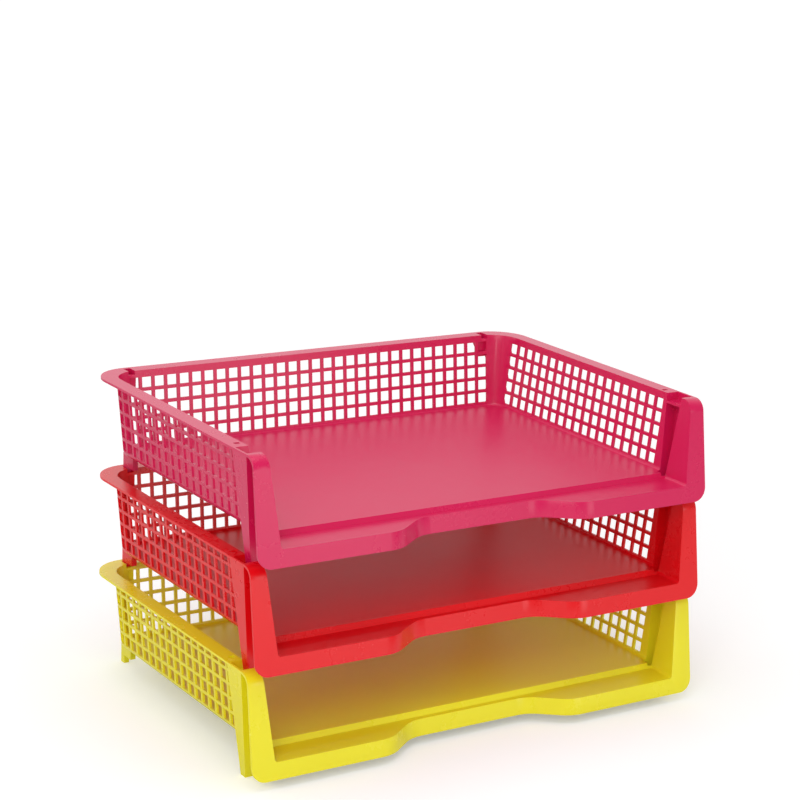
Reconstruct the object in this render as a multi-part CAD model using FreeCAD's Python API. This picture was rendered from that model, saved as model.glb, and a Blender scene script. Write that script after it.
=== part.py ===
import FreeCAD, Part
import math
import os

# Three identical letter trays, stacked. Each tray is one moulding. Sizes in millimetres.
# X runs across the tray, Y from the open front to the back wall, Z up from the desk.
# The origin lies on the desk, under the middle of the stack.

# The tray as a whole
WIDTH = 361.0           # across the rim
DEPTH = 253.0           # back edge of the rim to the foot of the front face
HEIGHT = 77.5           # desk to the top of the rim
SHEET = 1.6             # moulded wall thickness everywhere
TRAYS = ("bottom_tray", "middle_tray", "top_tray")
SEAT_DEPTH = 5.5        # a seat for the tray above lies this far below the rim top
NEST_CLEARANCE = 0.6    # sideways room of a leg or foot in its seat

# Walls, rim and floor
DRAFT = math.radians(5.9)   # the walls lean out towards the top
RIM_WIDTH = 11.0
RIM_CORNER = 27.0
WALL_CORNER = 20.0      # inside, at the rim
FLOOR_HEIGHT = 22.0     # top of the floor
FLOOR_FILLET = 2.5
STEP_DROP = 3.8         # the floor steps down to a ledge along the front
STEP_SLOPE = 2.0        # the riser of that step leans this far
LEDGE_DEPTH = 26.5      # riser to the foot of the front face

# Square holes in the back and side walls
HOLE = 7.6
HOLE_PITCH = 10.0
TOP_ROW_DROP = 9.0      # rim top to the middle of the top row
BACK_GRID_MARGIN = 18.5     # inner side wall to the middle of the last back column
SIDE_GRID_MARGIN = 17.9     # inner back wall to the middle of the first side column
GRID_FLOOR_RIB = 2.5    # wall left between the bottom row and the floor

# Front face: the rim bends down into a frame round the mouth
FACE_LEAN = math.radians(8.5)
BEND_RADIUS = 9.0
FACE_CORNER = 10.0
SKIRT_BOTTOM = 6.5
NOTCH_FLAT = 80.0       # straight part of the finger notch
NOTCH_STRIP = 4.0       # ledge left behind the notch
NOTCH_RADIUS = 25.0
NOTCH_SLOPE = math.radians(36.0)
APRON_MARGIN = 8.0      # straight skirt taken in beside the notch

# Front posts: grooved columns outside the walls that run down into the legs
POST_TIP_FRONT = 25.5   # foot of the front face to the front of the leg tip
POST_TIP_WIDTH = 6.0
POST_TIP_INSET = 8.5    # the leg tip stands this far inside the rim edge
POST_FRONT_FLARE = 6.0  # the front side leans forwards by this much over the height
POST_REAR_FLARE = 7.0
RIM_HOLE_LENGTH = 4.0   # small hole in the rim behind each post
RIM_HOLE_WIDTH = 3.0
RIM_HOLE_FRONT = 45.0   # foot of the front face to its middle
RIM_HOLE_INSET = 5.0    # rim edge to its outer end

# Rear feet: bracket blades on the back wall, and the pockets that take them
FOOT_SIDE_MARGIN = 17.5     # inner side wall to the middle of the foot
FOOT_THICK = 4.0
FOOT_LENGTH = 5.0
FOOT_REACH = 3.5        # the foot's back face stays this far inside the rim edge
FOOT_GUSSET = 24.0      # the blade runs up the wall to here
FOOT_KNEE = 16.0        # top of its back face
POCKET_SLANT = 11.0     # fall of the pocket's underside towards the wall
SLOT_DEPTH = 3.0        # the pocket is open to the inside down to here

OVERLAP = 1.0           # cutting bodies run past the faces that they cut

# Worked out from the sizes above
SEAT_HEIGHT = HEIGHT - SEAT_DEPTH
STACK_PITCH = SEAT_HEIGHT
LEDGE_HEIGHT = FLOOR_HEIGHT - STEP_DROP
BACK = DEPTH / 2
FRONT = -DEPTH / 2
STEP_Y = FRONT + LEDGE_DEPTH
SIDE_TOP = WIDTH / 2 - RIM_WIDTH
BACK_TOP = BACK - RIM_WIDTH
SLANTED_SHEET = SHEET / math.cos(DRAFT)
FOOT_X = SIDE_TOP - FOOT_SIDE_MARGIN
FOOT_BACK = BACK - FOOT_REACH
FOOT_FRONT = FOOT_BACK - FOOT_LENGTH


def vector_yz(y, z):
    return FreeCAD.Vector(0, y, z)


def vector_xz(x, z):
    return FreeCAD.Vector(x, 0, z)


def polygon(points):
    return Part.Face(Part.makePolygon(points + points[:1]))


def across(face, half_width):
    """A side-view face swept over the width, the same to the left and the right."""
    face = face.copy()
    face.translate(FreeCAD.Vector(-half_width, 0, 0))
    return face.extrude(FreeCAD.Vector(2 * half_width, 0, 0))


def along(face, start, end):
    """A front-view face swept from one depth to another."""
    face = face.copy()
    face.translate(FreeCAD.Vector(0, start, 0))
    return face.extrude(FreeCAD.Vector(0, end - start, 0))


def mirrored(shape):
    return shape.mirror(FreeCAD.Vector(0, 0, 0), FreeCAD.Vector(1, 0, 0))


def both_sides(shape):
    return [shape, mirrored(shape)]


def leaning(top, z):
    """Where a drafted wall that passes through 'top' at the rim stands at height z."""
    return top - (HEIGHT - z) * math.tan(DRAFT)


def face_y(z):
    """Outer surface of the leaning front face."""
    return FRONT + (z - SKIRT_BOTTOM) * math.tan(FACE_LEAN)


def wall_section(start, rim_reach, floor, fillet, top):
    """Section of the room beside one drafted wall: from 'start' along the floor, up the wall and back."""
    run = fillet / math.tan((math.pi / 2 + DRAFT) / 2)
    middle = leaning(rim_reach, floor) - run
    arc = []
    for angle in (-math.pi / 2, -(math.pi / 2 + DRAFT) / 2, -DRAFT):
        arc.append(vector_xz(middle + fillet * math.cos(angle), floor + fillet + fillet * math.sin(angle)))
    corners = [vector_xz(leaning(rim_reach, top), top), vector_xz(start, top), vector_xz(start, floor)]
    edges = [Part.Arc(*arc).toShape()]
    for first, second in zip([arc[2]] + corners, corners + [arc[0]]):
        edges.append(Part.makeLine(first, second))
    return Part.Face(Part.Wire(edges))


def tub(grow):
    """Space inside the tray, open to the front, grown outwards by a sheet thickness."""
    side = SIDE_TOP + grow / math.cos(DRAFT)
    back = BACK_TOP + grow / math.cos(DRAFT)
    corner = WALL_CORNER + grow / math.cos(DRAFT)
    corner_x, corner_y = SIDE_TOP - WALL_CORNER, BACK_TOP - WALL_CORNER
    floor, ledge = FLOOR_HEIGHT - grow, LEDGE_HEIGHT - grow
    fillet = FLOOR_FILLET + grow
    top, front = HEIGHT + OVERLAP, FRONT - OVERLAP

    right = along(wall_section(0, side, floor, fillet, top), front, corner_y)
    rear = wall_section(0, back, floor, fillet, top)
    rear.rotate(FreeCAD.Vector(0, 0, 0), FreeCAD.Vector(0, 0, 1), 90)
    round_corner = wall_section(0, corner, floor, fillet, top)
    round_corner = round_corner.revolve(FreeCAD.Vector(0, 0, 0), FreeCAD.Vector(0, 0, 1), 90)
    round_corner.translate(FreeCAD.Vector(corner_x, corner_y, 0))
    room = across(rear, corner_x).multiFuse(both_sides(right) + both_sides(round_corner))

    step, shoulder = STEP_Y + grow, floor + 2 * fillet
    riser = polygon([vector_yz(front, ledge), vector_yz(step - STEP_SLOPE, ledge),
                     vector_yz(step, floor), vector_yz(step, shoulder), vector_yz(front, shoulder)])
    lowered = along(wall_section(0, side, ledge, fillet, shoulder), front, step)
    drop = across(riser, WIDTH).common(lowered)
    return room.multiFuse(both_sides(drop)).removeSplitter()


def bend():
    """Centre of the bend from the rim into the front face, in the side view."""
    tangent_y = face_y(HEIGHT - BEND_RADIUS * (1 - math.sin(FACE_LEAN)))
    return tangent_y + BEND_RADIUS * math.cos(FACE_LEAN), HEIGHT - BEND_RADIUS


def face_line(inset):
    """Edges of the rim, bend and front face in the side view, from the back edge to the foot."""
    cy, cz = bend()
    radius = BEND_RADIUS - inset
    ends = []
    for angle in (math.pi / 2, (math.pi / 2 + math.pi - FACE_LEAN) / 2, math.pi - FACE_LEAN):
        ends.append(vector_yz(cy + radius * math.cos(angle), cz + radius * math.sin(angle)))
    foot = vector_yz(FRONT + inset / math.cos(FACE_LEAN), SKIRT_BOTTOM)
    back = vector_yz(BACK, HEIGHT - inset)
    return [Part.makeLine(back, ends[0]), Part.Arc(*ends).toShape(), Part.makeLine(ends[2], foot)]


def folded_sheet():
    """Rim and front face as one bent sheet, with rounded rear and lower front corners."""
    outer, inner = face_line(0), face_line(SHEET)
    closing = [Part.makeLine(outer[0].Vertexes[0].Point, inner[0].Vertexes[0].Point),
               Part.makeLine(outer[2].Vertexes[1].Point, inner[2].Vertexes[1].Point)]
    outline = Part.Wire(Part.sortEdges(outer + inner + closing)[0])
    sheet = across(Part.Face(outline), WIDTH / 2)
    rear = [e for e in sheet.Edges if e.CenterOfMass.y > BACK - SHEET / 2 and e.BoundBox.XLength < SHEET]
    sheet = sheet.makeFillet(RIM_CORNER, rear)
    foot = SKIRT_BOTTOM + SHEET / 2
    low = [e for e in sheet.Edges if e.BoundBox.ZMax < foot and e.BoundBox.XLength < SHEET]
    return sheet.makeFillet(FACE_CORNER, low)


def envelope():
    """Everything behind the front face and below the rim top."""
    line = face_line(0)
    foot, back = line[2].Vertexes[1].Point, line[0].Vertexes[0].Point
    low_front, low_back = vector_yz(face_y(0), 0), vector_yz(BACK, 0)
    closing = [Part.makeLine(foot, low_front), Part.makeLine(low_front, low_back),
               Part.makeLine(low_back, back)]
    return across(Part.Face(Part.Wire(Part.sortEdges(line + closing)[0])), WIDTH / 2)


def notch_span():
    """Half width of the notch where it runs out into the straight skirt."""
    depth = STEP_Y - STEP_SLOPE - NOTCH_STRIP - face_y(LEDGE_HEIGHT)
    straight = (depth - 2 * NOTCH_RADIUS * (1 - math.cos(NOTCH_SLOPE))) / math.sin(NOTCH_SLOPE)
    return NOTCH_FLAT / 2 + 2 * NOTCH_RADIUS * math.sin(NOTCH_SLOPE) + straight * math.cos(NOTCH_SLOPE)


def apron_line(inset):
    """Plan of the front edge round the finger notch, left to right, 'inset' behind its outer surface."""
    flat = NOTCH_FLAT / 2
    notch = STEP_Y - STEP_SLOPE - NOTCH_STRIP
    face = face_y(LEDGE_HEIGHT)
    reach = notch_span()
    inner_centre, outer_centre = (flat, notch - NOTCH_RADIUS), (reach, face + NOTCH_RADIUS)
    right = [FreeCAD.Vector(0, notch + inset, 0)]
    for turn in (0, NOTCH_SLOPE / 2, NOTCH_SLOPE):
        radius = NOTCH_RADIUS + inset
        right.append(FreeCAD.Vector(inner_centre[0] + radius * math.sin(turn),
                                    inner_centre[1] + radius * math.cos(turn), 0))
    for turn in (NOTCH_SLOPE, NOTCH_SLOPE / 2, 0):
        radius = NOTCH_RADIUS - inset
        right.append(FreeCAD.Vector(outer_centre[0] - radius * math.sin(turn),
                                    outer_centre[1] - radius * math.cos(turn), 0))
    right.append(FreeCAD.Vector(reach + APRON_MARGIN, face + inset, 0))
    edges = []
    for points in (right, [FreeCAD.Vector(-p.x, p.y, p.z) for p in right]):
        edges += [Part.makeLine(points[0], points[1]), Part.Arc(*points[1:4]).toShape(),
                  Part.makeLine(points[3], points[4]), Part.Arc(*points[4:7]).toShape(),
                  Part.makeLine(points[6], points[7])]
    return edges, right[-1]


def closed_between(line, end, other, other_end):
    """Face between two plan lines whose right-hand ends are given."""
    ends = []
    for side in (1, -1):
        ends.append(Part.makeLine(FreeCAD.Vector(side * end.x, end.y, 0),
                                  FreeCAD.Vector(side * other_end.x, other_end.y, 0)))
    return Part.Face(Part.Wire(Part.sortEdges(line + other + ends)[0]))


def apron():
    """Skirt round the notch, leaning like the front face."""
    face = closed_between(*apron_line(0), *apron_line(SHEET / math.cos(FACE_LEAN)))
    face.translate(FreeCAD.Vector(0, 0, LEDGE_HEIGHT))
    fall = LEDGE_HEIGHT - SKIRT_BOTTOM
    return face.extrude(FreeCAD.Vector(0, -fall * math.tan(FACE_LEAN), -fall))


def notch_cut():
    """Ledge in front of the middle of the apron's wall."""
    line, end = apron_line(SHEET / 2)
    far = FreeCAD.Vector(end.x, FRONT - OVERLAP, 0)
    edge = [Part.makeLine(FreeCAD.Vector(-far.x, far.y, 0), far)]
    face = closed_between(line, end, edge, far)
    face.translate(FreeCAD.Vector(0, 0, LEDGE_HEIGHT - SHEET - OVERLAP))
    return face.extrude(FreeCAD.Vector(0, 0, SHEET + 2 * OVERLAP))


def skirt_gap():
    """Part of the straight skirt whose place the apron takes."""
    half = notch_span() + APRON_MARGIN
    corner = FreeCAD.Vector(-half, FRONT - OVERLAP, 0)
    return Part.makeBox(2 * half, LEDGE_DEPTH, LEDGE_HEIGHT + OVERLAP, corner)


def post_sides(z):
    """Front and rear of the post's outer surface at height z."""
    tip = FRONT + POST_TIP_FRONT
    return tip - POST_FRONT_FLARE * z / HEIGHT, tip + POST_TIP_WIDTH + POST_REAR_FLARE * z / HEIGHT


def post_space(inset, low, inner):
    """Column outside the right wall, 'inset' inside its outer surface, from height 'low' to the rim."""
    top = HEIGHT + (OVERLAP if inset else 0)
    low_front, low_back = post_sides(low)
    top_front, top_back = post_sides(top)
    side_view = polygon([vector_yz(low_front + inset, low), vector_yz(low_back - inset, low),
                         vector_yz(top_back - inset, top), vector_yz(top_front + inset, top)])
    tip = WIDTH / 2 - POST_TIP_INSET - inset
    lean = POST_TIP_INSET / HEIGHT
    front_view = polygon([vector_xz(leaning(inner, low), low), vector_xz(tip + lean * low, low),
                          vector_xz(tip + lean * top, top), vector_xz(leaning(inner, top), top)])
    return across(side_view, WIDTH).common(along(front_view, FRONT, 0))


def seat():
    """Shelf in the right groove that carries the leg of the tray above."""
    slab = Part.makeBox(WIDTH, DEPTH, SHEET, FreeCAD.Vector(0, FRONT, SEAT_HEIGHT - SHEET))
    return post_space(0, 0, SIDE_TOP).common(slab)


def web():
    """Right side wall below the floor, between the leg and the front face."""
    outer = SIDE_TOP + SLANTED_SHEET
    low, top = SKIRT_BOTTOM, FLOOR_HEIGHT
    section = polygon([vector_xz(leaning(SIDE_TOP, low), low), vector_xz(leaning(outer, low), low),
                       vector_xz(leaning(outer, top), top), vector_xz(leaning(SIDE_TOP, top), top)])
    return along(section, FRONT - OVERLAP, FRONT + POST_TIP_FRONT + POST_TIP_WIDTH / 2)


def blade(points, thick):
    """Side-view outline at the right rear foot, swept over a thickness."""
    face = polygon(points)
    face.translate(FreeCAD.Vector(FOOT_X - thick / 2, 0, 0))
    return face.extrude(FreeCAD.Vector(thick, 0, 0))


def rear_foot():
    """Bracket that reaches over the rim of the tray below and down into its pocket."""
    bridge = SEAT_DEPTH + NEST_CLEARANCE
    root = leaning(BACK_TOP, FLOOR_HEIGHT) - FLOOR_FILLET
    wall = leaning(BACK_TOP + SLANTED_SHEET, FOOT_GUSSET)
    return blade([vector_yz(FOOT_FRONT, 0), vector_yz(FOOT_BACK, 0), vector_yz(FOOT_BACK, FOOT_KNEE),
                  vector_yz(wall, FOOT_GUSSET), vector_yz(root, FOOT_GUSSET),
                  vector_yz(root, bridge), vector_yz(FOOT_FRONT, bridge)], FOOT_THICK)


def pocket():
    """Solid block under the rim, outside the back wall, for the foot of the tray above."""
    outer = FOOT_BACK + NEST_CLEARANCE + SHEET
    low, top = SEAT_HEIGHT - SHEET, HEIGHT - SHEET / 2
    wall = leaning(BACK_TOP, low)
    return blade([vector_yz(wall, low - POCKET_SLANT), vector_yz(outer, low), vector_yz(outer, top),
                  vector_yz(wall, top)], FOOT_THICK + 2 * (NEST_CLEARANCE + SHEET))


def pocket_space():
    """Room for that foot, with a slot through the rim and the top of the wall in front of it."""
    back, front = FOOT_BACK + NEST_CLEARANCE, FOOT_FRONT - NEST_CLEARANCE
    top, slot = HEIGHT + OVERLAP, HEIGHT - SLOT_DEPTH
    inside = leaning(BACK_TOP, slot) - 2 * OVERLAP
    return blade([vector_yz(front, SEAT_HEIGHT), vector_yz(back, SEAT_HEIGHT), vector_yz(back, top),
                  vector_yz(inside, top), vector_yz(inside, slot), vector_yz(front, slot)],
                 FOOT_THICK + 2 * NEST_CLEARANCE)


def rim_hole():
    corner = FreeCAD.Vector(WIDTH / 2 - RIM_HOLE_INSET - RIM_HOLE_LENGTH,
                            FRONT + RIM_HOLE_FRONT - RIM_HOLE_WIDTH / 2, HEIGHT - SHEET - OVERLAP)
    return Part.makeBox(RIM_HOLE_LENGTH, RIM_HOLE_WIDTH, SHEET + 2 * OVERLAP, corner)


def grid_holes():
    """Square holes of the back wall and both side walls, each just longer than the wall is thick."""
    reach = SLANTED_SHEET + HOLE * math.tan(DRAFT) + OVERLAP / 2
    rows = int((HEIGHT - TOP_ROW_DROP - FLOOR_HEIGHT - GRID_FLOOR_RIB - HOLE / 2) / HOLE_PITCH) + 1
    half_columns = int((SIDE_TOP - BACK_GRID_MARGIN) / HOLE_PITCH)
    first_side = BACK_TOP - SIDE_GRID_MARGIN
    top_row = HEIGHT - TOP_ROW_DROP
    post_rear = post_sides(top_row)[1]
    side_columns = int((first_side - post_rear - HOLE / 2) / HOLE_PITCH) + 1
    holes = []
    for row in range(rows):
        z = top_row - row * HOLE_PITCH
        middle = SLANTED_SHEET / 2
        back, side = leaning(BACK_TOP, z) + middle, leaning(SIDE_TOP, z) + middle
        for column in range(-half_columns, half_columns + 1):
            corner = FreeCAD.Vector(column * HOLE_PITCH - HOLE / 2, back - reach / 2, z - HOLE / 2)
            holes.append(Part.makeBox(HOLE, reach, HOLE, corner))
        for column in range(side_columns):
            y = first_side - column * HOLE_PITCH
            corner = FreeCAD.Vector(side - reach / 2, y - HOLE / 2, z - HOLE / 2)
            hole = Part.makeBox(reach, HOLE, HOLE, corner)
            holes += [hole, mirrored(hole)]
    return Part.makeCompound(holes)


def tray():
    """One tray, standing on the desk."""
    behind_face = envelope()
    shell = tub(SHEET).common(behind_face).cut(notch_cut())
    frame = folded_sheet().cut(skirt_gap())
    outside = [apron()]
    for piece in (post_space(0, 0, SIDE_TOP), web().common(behind_face), rear_foot(), pocket()):
        outside += both_sides(piece)
    solid = shell.multiFuse([frame] + outside).removeSplitter()
    hollows = [tub(0)]
    groove = post_space(SHEET, SHEET, SIDE_TOP - FLOOR_FILLET - OVERLAP)
    for space in (groove, pocket_space(), rim_hole()):
        hollows += both_sides(space)
    solid = solid.cut(hollows)
    solid = solid.multiFuse(both_sides(seat())).removeSplitter()
    return solid.cut(grid_holes())


os.makedirs("parts", exist_ok=True)
moulding = tray()
for level, name in enumerate(TRAYS):
    placed = moulding.copy()
    placed.translate(FreeCAD.Vector(0, 0, level * STACK_PITCH))
    placed.exportStep("parts/" + name + ".step")
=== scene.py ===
import math

import bpy
from mathutils import Euler, Matrix, Vector


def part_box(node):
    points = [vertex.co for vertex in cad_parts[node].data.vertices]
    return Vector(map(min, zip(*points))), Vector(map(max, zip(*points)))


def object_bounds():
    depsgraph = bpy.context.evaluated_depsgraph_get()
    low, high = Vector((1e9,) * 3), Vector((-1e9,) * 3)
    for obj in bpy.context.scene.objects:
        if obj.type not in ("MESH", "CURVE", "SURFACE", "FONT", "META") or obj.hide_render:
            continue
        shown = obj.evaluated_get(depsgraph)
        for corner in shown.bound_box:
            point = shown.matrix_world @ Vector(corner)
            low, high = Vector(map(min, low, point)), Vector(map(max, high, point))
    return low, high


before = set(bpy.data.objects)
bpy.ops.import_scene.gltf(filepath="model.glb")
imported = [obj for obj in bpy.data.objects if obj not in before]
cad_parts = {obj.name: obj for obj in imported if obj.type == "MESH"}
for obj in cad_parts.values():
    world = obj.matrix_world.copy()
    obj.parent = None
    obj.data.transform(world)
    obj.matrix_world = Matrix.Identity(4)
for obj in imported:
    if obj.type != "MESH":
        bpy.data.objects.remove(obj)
cad_low, cad_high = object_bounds()

# Camera, in metres and degrees: the photograph's view of the top tray, with the stack low in the picture,
# so that the lifted trays stay in it
CAMERA_SPOT = (-0.8267, -1.2749, 0.6030)
CAMERA_TURN = 33.0          # the view runs this far to the right of straight ahead
CAMERA_DIP = 14.42          # and this far downwards
CAMERA_ROLL = 2.44
CAMERA_LENS = 100.14        # millimetres on a sensor of 36
SENSOR = 36.0

# Colours of the three mouldings, as they show on the screen
PINK = (211, 22, 84)
RED = (228, 10, 20)
YELLOW = (237, 226, 30)
TRAY_COLOURS = {"top_tray": PINK, "middle_tray": RED, "bottom_tray": YELLOW}

# The tray's own levels above its feet, in metres
FLOOR_LEVEL = 0.022
FLOOR_BAND = 0.006          # the floor and its lower front ledge lie within this of the floor level

# Softened edges
EDGE_SOFTENING = 0.0006
EDGE_STEPS = 3
EDGE_ANGLE = 35.0
WELD_DISTANCE = 0.000002
FLAT_ANGLE = 0.5            # facets that meet more flatly than this are one face

# Moulded surface
FLOOR_ROUGHNESS = 0.40
SHELL_ROUGHNESS = 0.27
UPWARD = 0.7                # a face whose normal rises more than this looks up
NOISE_MIDDLE = 0.5          # the noises swing round this value
GRAIN_SCALE = 2600.0
GRAIN_DETAIL = 2.0
GRAIN_DEPTH = 0.000015
GRAIN_STRENGTH = 0.5
SHELL_GRAIN = 0.15          # the walls and the frame have this share of the floor's grain
SCUFF_SCALE = 90.0
SCUFF_DETAIL = 4.0
SCUFF_HARSHNESS = 0.7
SCUFF_SHARE = 0.03          # how far the scuffs move the roughness
SWIRL_SCALE = 9.0
SWIRL_DETAIL = 3.0
SWIRL_TWIST = 0.6
SWIRL_SHARE = 0.08          # how far the swirls move the roughness
SHADE_LOW = 0.97            # the colour's share where the swirl is darkest
SHADE_SPAN = 0.06           # and how far it rises from there
SPECULAR = 0.5
PLASTIC_IOR = 1.49

# Studio
FLOOR_SIZE = 12.0
FLOOR_GREY = 0.82
NEAR_GLOW = 0.28            # lifts the floor to white round the stack
FAR_GLOW = 0.50             # and further out, where the lamps don't reach
NEAR_REACH, FAR_REACH = 0.3, 2.5    # metres from the stack between which that changes over
BACK_GLOW = 1.0             # what the white backdrop shows in reflections
FRONT_GLOW = 0.10           # what the darker camera side of the studio shows
FRONT_EDGE, BACK_EDGE = -0.6, 0.3   # the glow changes over between these directions in Y
DAYLIGHT = 0.68
# Lamps: place, width and height in metres, power in watts
LAMPS = {
    "overhead_box": ((-0.3, -0.1, 1.7), 1.6, 1.2, 7.5),
    "front_left_box": ((-1.5, -1.6, 1.1), 1.2, 1.2, 16.0),
    "front_right_box": ((0.79, -1.88, 0.3), 0.6, 0.8, 3.3),
}


def linear(colour):
    """A screen colour of 0 to 255 as the linear values that shaders take."""
    values = []
    for part in colour:
        part /= 255
        values.append(part / 12.92 if part <= 0.04045 else ((part + 0.055) / 1.055) ** 2.4)
    return (*values, 1.0)


class Flow:
    """A socket in a node tree that can be added, multiplied and so on."""

    def __init__(self, tree, socket):
        self.tree = tree
        self.socket = socket

    def maths(self, operation, first, second):
        return add_node(self.tree, "ShaderNodeMath", {"operation": operation}, i0=first, i1=second).out()

    def __add__(self, other):
        return self.maths("ADD", self, other)

    def __radd__(self, other):
        return self.maths("ADD", other, self)

    def __sub__(self, other):
        return self.maths("SUBTRACT", self, other)

    def __rsub__(self, other):
        return self.maths("SUBTRACT", other, self)

    def __mul__(self, other):
        return self.maths("MULTIPLY", self, other)

    def __rmul__(self, other):
        return self.maths("MULTIPLY", other, self)

    def above(self, limit):
        return self.maths("GREATER_THAN", self, limit)

    def size(self):
        return self.maths("ABSOLUTE", self, 0.0)


class Made:
    """A node that was just made, with its outputs by name or number."""

    def __init__(self, tree, node):
        self.tree = tree
        self.node = node

    def out(self, name=0):
        return Flow(self.tree, self.node.outputs[name])


def add_node(tree, kind, settings=(), **inputs):
    """A new node: its settings first, then its sockets by name ('Base_Color') or by number ('i0')."""
    node = tree.nodes.new(kind)
    for name, value in dict(settings).items():
        setattr(node, name, value)
    for name, value in inputs.items():
        key = int(name[1:]) if name[0] == "i" and name[1:].isdigit() else name.replace("_", " ")
        if isinstance(value, Flow):
            tree.links.new(value.socket, node.inputs[key])
        else:
            node.inputs[key].default_value = value
    return Made(tree, node)


def new_material(name):
    material = bpy.data.materials.new(name)
    material.use_nodes = True
    material.node_tree.nodes.clear()
    return material, material.node_tree


def moulded_plastic(name, colour, feet):
    """Satin polypropylene: a grained matt floor, smoother walls and frame, faint swirls from the melt."""
    material, tree = new_material(name)
    place = add_node(tree, "ShaderNodeTexCoord").out("Object")
    split = add_node(tree, "ShaderNodeSeparateXYZ", Vector=place)
    normal = add_node(tree, "ShaderNodeNewGeometry").out("Normal")
    upward = add_node(tree, "ShaderNodeSeparateXYZ", Vector=normal).out("Z").above(UPWARD)
    near_floor = 1 - (split.out("Z") - (feet + FLOOR_LEVEL)).size().above(FLOOR_BAND)
    floor = upward * near_floor

    swirl = add_node(tree, "ShaderNodeTexNoise", Vector=place, Scale=SWIRL_SCALE, Detail=SWIRL_DETAIL,
                     Distortion=SWIRL_TWIST).out("Fac")
    grain = add_node(tree, "ShaderNodeTexNoise", Vector=place, Scale=GRAIN_SCALE,
                     Detail=GRAIN_DETAIL).out("Fac")
    scuffs = add_node(tree, "ShaderNodeTexNoise", Vector=place, Scale=SCUFF_SCALE, Detail=SCUFF_DETAIL,
                      Roughness=SCUFF_HARSHNESS).out("Fac")

    shade = add_node(tree, "ShaderNodeVectorMath", {"operation": "SCALE"}, i0=linear(colour)[:3],
                     Scale=SHADE_LOW + SHADE_SPAN * swirl)
    rough = SHELL_ROUGHNESS + floor * (FLOOR_ROUGHNESS - SHELL_ROUGHNESS)
    rough = rough + (scuffs - NOISE_MIDDLE) * SCUFF_SHARE + (swirl - NOISE_MIDDLE) * SWIRL_SHARE
    relief = add_node(tree, "ShaderNodeBump", Height=grain * (SHELL_GRAIN + (1 - SHELL_GRAIN) * floor),
                      Strength=GRAIN_STRENGTH, Distance=GRAIN_DEPTH)
    skin = add_node(tree, "ShaderNodeBsdfPrincipled", Base_Color=shade.out(), Roughness=rough,
                    Normal=relief.out(), IOR=PLASTIC_IOR, Specular_IOR_Level=SPECULAR)
    add_node(tree, "ShaderNodeOutputMaterial", Surface=skin.out())
    return material


def soften_edges(tray):
    """Small radii along the moulding's edges."""
    weld = tray.modifiers.new("join_faces", "WELD")
    weld.merge_threshold = WELD_DISTANCE
    flat = tray.modifiers.new("flat_faces", "DECIMATE")
    flat.decimate_type = "DISSOLVE"
    flat.angle_limit = math.radians(FLAT_ANGLE)
    bevel = tray.modifiers.new("soft_edges", "BEVEL")
    bevel.width = EDGE_SOFTENING
    bevel.segments = EDGE_STEPS
    bevel.limit_method = "ANGLE"
    bevel.angle_limit = math.radians(EDGE_ANGLE)
    bevel.harden_normals = False


def dress_trays():
    for name, colour in TRAY_COLOURS.items():
        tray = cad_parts[name]
        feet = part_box(name)[0].z
        tray.data.materials.clear()
        tray.data.materials.append(moulded_plastic(name + "_plastic", colour, feet))
        soften_edges(tray)


def lay_floor():
    """Pale floor that keeps the stack's soft shadow and runs out to white."""
    half = FLOOR_SIZE / 2
    mesh = bpy.data.meshes.new("studio_floor")
    corners = [(-half, -half), (half, -half), (half, half), (-half, half)]
    mesh.from_pydata([(x, y, cad_low.z) for x, y in corners], [], [(0, 1, 2, 3)])
    floor = bpy.data.objects.new("studio_floor", mesh)
    bpy.context.scene.collection.objects.link(floor)
    material, tree = new_material("studio_floor")
    path = add_node(tree, "ShaderNodeLightPath")
    seen = path.out("Is Camera Ray")
    paint = add_node(tree, "ShaderNodeBsdfDiffuse", Color=(FLOOR_GREY, FLOOR_GREY, FLOOR_GREY, 1))
    place = add_node(tree, "ShaderNodeTexCoord").out("Object")
    reach = add_node(tree, "ShaderNodeVectorMath", {"operation": "LENGTH"}, i0=place).out("Value")
    lift = add_node(tree, "ShaderNodeMapRange", {"interpolation_type": "SMOOTHSTEP"}, Value=reach,
                    From_Min=NEAR_REACH, From_Max=FAR_REACH, To_Min=NEAR_GLOW, To_Max=FAR_GLOW).out()
    glow = add_node(tree, "ShaderNodeEmission", Color=(1, 1, 1, 1), Strength=seen * lift)
    both = add_node(tree, "ShaderNodeAddShader", i0=paint.out(), i1=glow.out())
    add_node(tree, "ShaderNodeOutputMaterial", Surface=both.out())
    mesh.materials.append(material)


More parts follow.
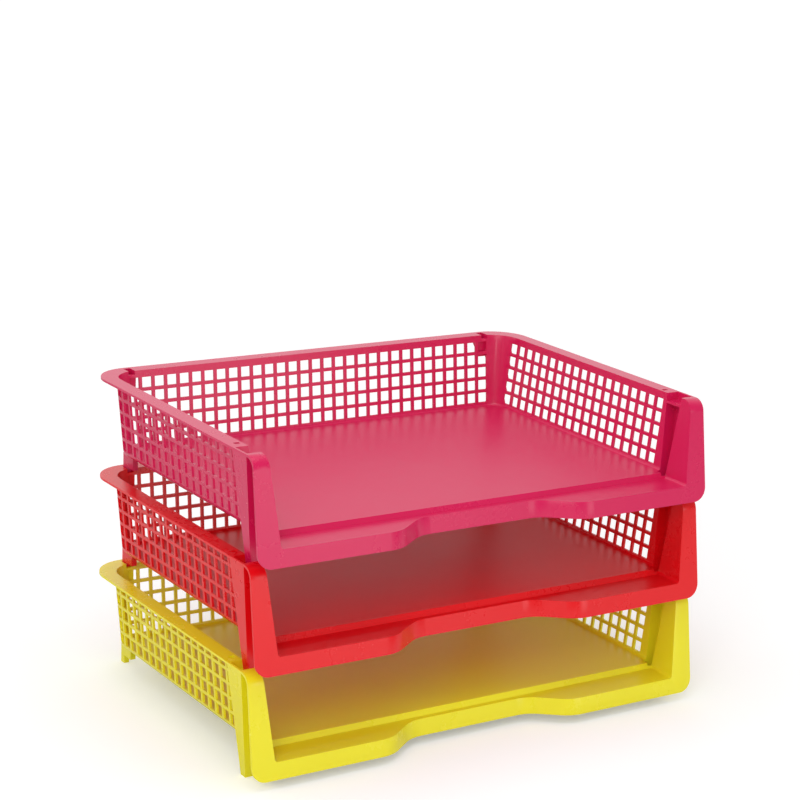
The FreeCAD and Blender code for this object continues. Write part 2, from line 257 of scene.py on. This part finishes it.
def hang_backdrop():
    """World: white to the camera; in reflections bright behind the stack and darker in front of it."""
    world = bpy.data.worlds.new("studio")
    bpy.context.scene.world = world
    world.use_nodes = True
    tree = world.node_tree
    tree.nodes.clear()
    path = add_node(tree, "ShaderNodeLightPath")
    camera, glossy = path.out("Is Camera Ray"), path.out("Is Glossy Ray")
    through = path.out("Is Transmission Ray")
    direction = add_node(tree, "ShaderNodeTexCoord").out("Generated")
    ahead = add_node(tree, "ShaderNodeSeparateXYZ", Vector=direction)
    behind = add_node(tree, "ShaderNodeMapRange", {"interpolation_type": "SMOOTHSTEP"}, Value=ahead.out("Y"),
                      From_Min=FRONT_EDGE, From_Max=BACK_EDGE, To_Min=FRONT_GLOW, To_Max=BACK_GLOW).out()
    strength = camera + (1 - camera) * ((glossy + through) * behind + (1 - glossy - through) * DAYLIGHT)
    light = add_node(tree, "ShaderNodeBackground", Color=(1, 1, 1, 1), Strength=strength)
    add_node(tree, "ShaderNodeOutputWorld", Surface=light.out())


def soft_box(name, spot, target, width, height, power):
    lamp = bpy.data.lights.new(name, "AREA")
    lamp.shape = "RECTANGLE"
    lamp.size, lamp.size_y = width, height
    lamp.energy = power
    holder = bpy.data.objects.new(name, lamp)
    bpy.context.scene.collection.objects.link(holder)
    holder.location = spot
    holder.rotation_euler = (Vector(target) - Vector(spot)).to_track_quat("-Z", "Y").to_euler()


def light_studio():
    middle = (cad_low + cad_high) / 2
    for name, (spot, width, height, power) in LAMPS.items():
        soft_box(name, spot, middle, width, height, power)


def place_camera():
    lens = bpy.data.cameras.new("photo_camera")
    lens.sensor_width = SENSOR
    lens.lens = CAMERA_LENS
    camera = bpy.data.objects.new("photo_camera", lens)
    bpy.context.scene.collection.objects.link(camera)
    upright = Euler((math.radians(90 - CAMERA_DIP), 0, math.radians(-CAMERA_TURN))).to_matrix()
    roll = Matrix.Rotation(math.radians(CAMERA_ROLL), 3, "Z")
    camera.matrix_world = Matrix.LocRotScale(Vector(CAMERA_SPOT), upright @ roll, None)
    bpy.context.scene.camera = camera


dress_trays()
lay_floor()
hang_backdrop()
light_studio()
place_camera()
bpy.context.scene.view_settings.view_transform = "Standard"
